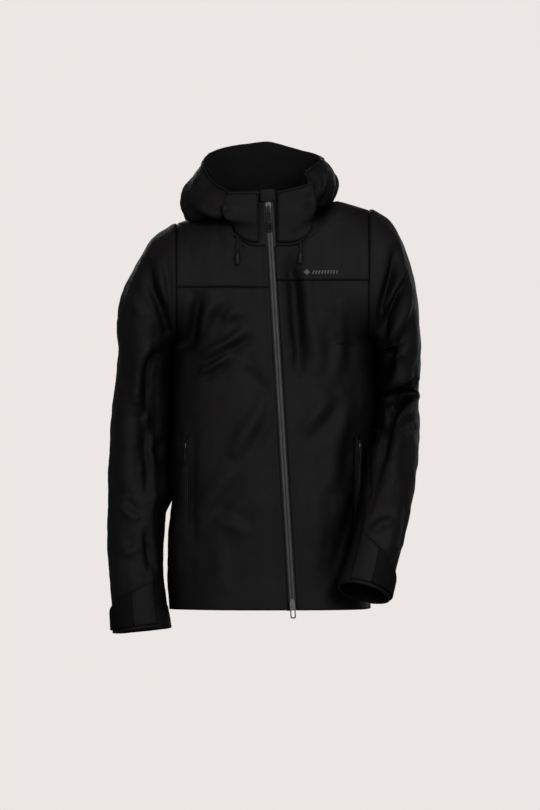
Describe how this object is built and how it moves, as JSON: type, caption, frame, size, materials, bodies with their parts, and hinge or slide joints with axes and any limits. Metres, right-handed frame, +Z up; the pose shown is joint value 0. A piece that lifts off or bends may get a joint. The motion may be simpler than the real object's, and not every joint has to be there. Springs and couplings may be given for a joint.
{
  "type": "hardshell jacket",
  "caption": "Hooded waterproof shell jacket, hung as worn: full-length two-way front zip, lowered hood, sewn yokes, sleeves with cuff tabs and hem cord.",
  "frame": {"origin": "under the middle of the jacket's bounding box, level with the lower edge of the wearer's right cuff", "axes": "+Z up, front towards -Y, wearer's left at +X"},
  "size_m": [0.5359, 0.3554, 0.8431],
  "materials": {
    "shell_fabric": "matte black woven shell, tightly woven, faint sheen",
    "lining_fabric": "dark grey knit backer",
    "zip_laminate": "dark grey laminated tape",
    "black_rubber": "black moulded rubber and cord",
    "dark_metal": "gunmetal enamel"
  },
  "bodies": {
    "jacket": {"front_panel_right": "shell_fabric", "front_panel_left": "shell_fabric", "side_panel_right": "shell_fabric", "side_panel_left": "shell_fabric", "back_panel": "shell_fabric", "front_yoke_right": "shell_fabric", "front_yoke_left": "shell_fabric", "back_yoke": "shell_fabric", "collar": "shell_fabric", "chin_guard": "shell_fabric", "storm_flap": "lining_fabric", "zip_tape_right": "zip_laminate", "zip_tape_left": "zip_laminate", "zip_coil_right": "black_rubber", "zip_coil_left": "black_rubber", "hem_facing": "lining_fabric", "hem_cord": "black_rubber", "hanger_loop": "black_rubber", "neck_label": "lining_fabric", "chest_mark": "zip_laminate", "pocket_zip_right": "zip_laminate", "pocket_zip_left": "zip_laminate", "pocket_bag_right": "lining_fabric", "pocket_bag_left": "lining_fabric"},
    "hood": {"hood_side_panel_left": "shell_fabric", "hood_centre_panel": "shell_fabric", "hood_side_panel_right": "shell_fabric", "hood_brim": "shell_fabric"},
    "zip_slider_top": {"zip_slider_top": "dark_metal"},
    "zip_pull_top": {"zip_pull_top": "black_rubber"},
    "zip_slider_bottom": {"zip_slider_bottom": "dark_metal"},
    "zip_pull_bottom": {"zip_pull_bottom": "dark_metal"},
    "pocket_slider_right": {"pocket_slider_right": "dark_metal"},
    "upper_arm_right": {"sleeve_outer_right": "shell_fabric", "sleeve_under_right": "shell_fabric", "elbow_panel_right": "shell_fabric"},
    "lower_arm_right": {"lower_sleeve_right": "shell_fabric", "cuff_right": "shell_fabric"},
    "cuff_tab_right": {"cuff_tab_right": "black_rubber"},
    "drawcord_right": {"drawcord_right": "black_rubber", "cord_end_right": "black_rubber"},
    "hem_lock_right": {"hem_lock_right": "black_rubber"},
    "pocket_slider_left": {"pocket_slider_left": "dark_metal"},
    "upper_arm_left": {"sleeve_outer_left": "shell_fabric", "sleeve_under_left": "shell_fabric", "elbow_panel_left": "shell_fabric"},
    "lower_arm_left": {"lower_sleeve_left": "shell_fabric", "cuff_left": "shell_fabric"},
    "cuff_tab_left": {"cuff_tab_left": "black_rubber"},
    "drawcord_left": {"drawcord_left": "black_rubber", "cord_end_left": "black_rubber"},
    "hem_lock_left": {"hem_lock_left": "black_rubber"}
  },
  "joints": [
    {"name": "zip_top_slide", "type": "slide", "parent": "jacket", "child": "zip_slider_top", "axis": [0.0601, -0.0604, -0.9964], "range_m": [0, 0.42]},
    {"name": "zip_top_pull", "type": "hinge", "parent": "zip_slider_top", "child": "zip_pull_top", "pos_m": [0.00682, -0.06652, 0.73133], "axis": [-0.9982, -0.0036, -0.06], "range_deg": [0, 120]},
    {"name": "zip_bottom_slide", "type": "slide", "parent": "jacket", "child": "zip_slider_bottom", "axis": [-0.0601, 0.0604, 0.9964], "range_m": [0, 0.16]},
    {"name": "zip_bottom_pull", "type": "hinge", "parent": "zip_slider_bottom", "child": "zip_pull_bottom", "pos_m": [0.0475, -0.10739, 0.05725], "axis": [-0.9982, -0.0036, -0.06], "range_deg": [0, 120]},
    {"name": "pocket_slide_right", "type": "slide", "parent": "jacket", "child": "pocket_slider_right", "axis": [0, -0.0366, -0.9993], "range_m": [0, 0.115]},
    {"name": "shoulder_right", "type": "hinge", "parent": "jacket", "child": "upper_arm_right", "pos_m": [-0.1574, 0.031, 0.589], "axis": [-1, 0, 0], "range_deg": [-20, 60]},
    {"name": "elbow_right", "type": "hinge", "parent": "upper_arm_right", "child": "lower_arm_right", "pos_m": [-0.2144, 0.039, 0.313], "axis": [-1, 0, 0], "range_deg": [0, 50], "deforming": ["elbow_panel_right"]},
    {"name": "cuff_tab_right", "type": "hinge", "parent": "lower_arm_right", "child": "cuff_tab_right", "pos_m": [-0.22458, -0.03833, 0.03571], "axis": [-0.1011, 0.0735, 0.9922], "range_deg": [0, 40]},
    {"name": "drawcord_right", "type": "slide", "parent": "jacket", "child": "drawcord_right", "axis": [0, 0, -1], "range_m": [0, 0.025]},
    {"name": "hem_lock_right", "type": "slide", "parent": "jacket", "child": "hem_lock_right", "axis": [0, -1, 0], "range_m": [0, 0.04]},
    {"name": "pocket_slide_left", "type": "slide", "parent": "jacket", "child": "pocket_slider_left", "axis": [0, -0.0366, -0.9993], "range_m": [0, 0.115]},
    {"name": "shoulder_left", "type": "hinge", "parent": "jacket", "child": "upper_arm_left", "pos_m": [0.1856, 0.031, 0.589], "axis": [-1, 0, 0], "range_deg": [0, 50]},
    {"name": "elbow_left", "type": "hinge", "parent": "upper_arm_left", "child": "lower_arm_left", "pos_m": [0.2246, 0.073, 0.388], "axis": [-1, 0, 0], "range_deg": [0, 32], "deforming": ["elbow_panel_left"]},
    {"name": "cuff_tab_left", "type": "hinge", "parent": "lower_arm_left", "child": "cuff_tab_left", "pos_m": [0.18614, -0.16824, 0.11204], "axis": [-0.2548, -0.3275, -0.9098], "range_deg": [0, 40]},
    {"name": "drawcord_left", "type": "slide", "parent": "jacket", "child": "drawcord_left", "axis": [0, 0, -1], "range_m": [0, 0.025]},
    {"name": "hem_lock_left", "type": "slide", "parent": "jacket", "child": "hem_lock_left", "axis": [0, -1, 0], "range_m": [0, 0.04]},
    {"name": "hood_lift", "type": "hinge", "parent": "jacket", "child": "hood", "pos_m": [0.0061, -0.075, 0.671], "axis": [1, 0, 0], "range_deg": [0, 28]}
  ]
}
